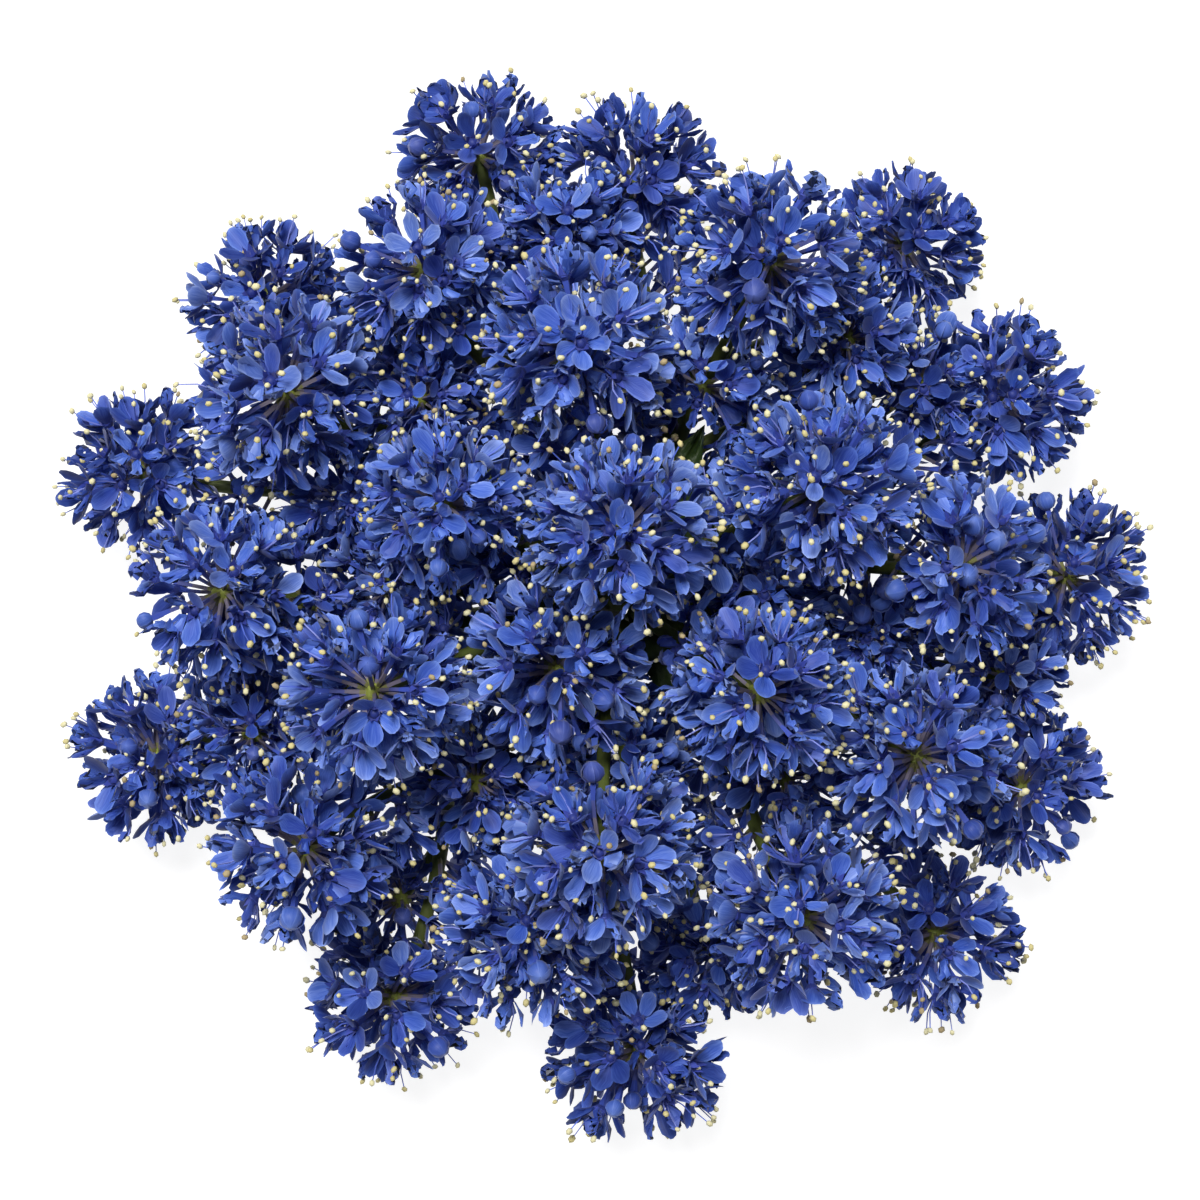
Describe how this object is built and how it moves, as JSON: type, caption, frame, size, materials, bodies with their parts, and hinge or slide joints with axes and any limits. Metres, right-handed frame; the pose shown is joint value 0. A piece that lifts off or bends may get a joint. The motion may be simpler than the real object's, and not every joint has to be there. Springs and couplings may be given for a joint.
{
  "type": "cut california lilac flower head",
  "caption": "Cut blue flower head lying face up: a short stem and side branches carry round umbels of small stalked flowers in a wide dome.",
  "frame": {"origin": "middle of the stem's flat cut, which stands on the table under the head", "axes": "+Z out of the cut stem towards the crown umbel; seen from above, +X is to the right and +Y to the top of the head"},
  "size_m": [0.1085, 0.1066, 0.0449],
  "materials": {
    "bark": "smooth young green bark, satin",
    "leaf": "small dark leaf, satin",
    "blossom": "matt blue petals"
  },
  "bodies": {
    "root": {"stem": "bark", "branch_1": "bark", "branch_2": "bark", "branch_3": "bark", "branch_4": "bark", "branch_5": "bark", "branch_6": "bark", "branch_7": "bark", "branch_8": "bark", "branch_9": "bark", "leaf_1": "leaf", "leaf_2": "leaf", "leaf_3": "leaf", "umbel_01": "blossom", "umbel_02": "blossom", "umbel_03": "blossom", "umbel_04": "blossom", "umbel_05": "blossom", "umbel_06": "blossom", "umbel_07": "blossom", "umbel_08": "blossom", "umbel_09": "blossom", "umbel_10": "blossom", "umbel_11": "blossom", "umbel_12": "blossom", "umbel_13": "blossom", "umbel_14": "blossom", "umbel_15": "blossom", "umbel_16": "blossom", "umbel_17": "blossom", "umbel_18": "blossom", "umbel_19": "blossom", "umbel_20": "blossom", "umbel_21": "blossom", "umbel_22": "blossom", "umbel_23": "blossom", "umbel_24": "blossom", "umbel_25": "blossom", "umbel_26": "blossom", "umbel_27": "blossom", "umbel_28": "blossom", "umbel_29": "blossom", "umbel_30": "blossom", "umbel_31": "blossom", "umbel_32": "blossom", "umbel_33": "blossom", "umbel_34": "blossom", "umbel_35": "blossom", "umbel_36": "blossom", "umbel_37": "blossom", "umbel_38": "blossom", "umbel_39": "blossom", "umbel_40": "blossom", "umbel_41": "blossom", "umbel_42": "blossom", "umbel_43": "blossom", "umbel_44": "blossom", "umbel_45": "blossom", "umbel_46": "blossom", "umbel_47": "blossom"}
  },
  "joints": []
}
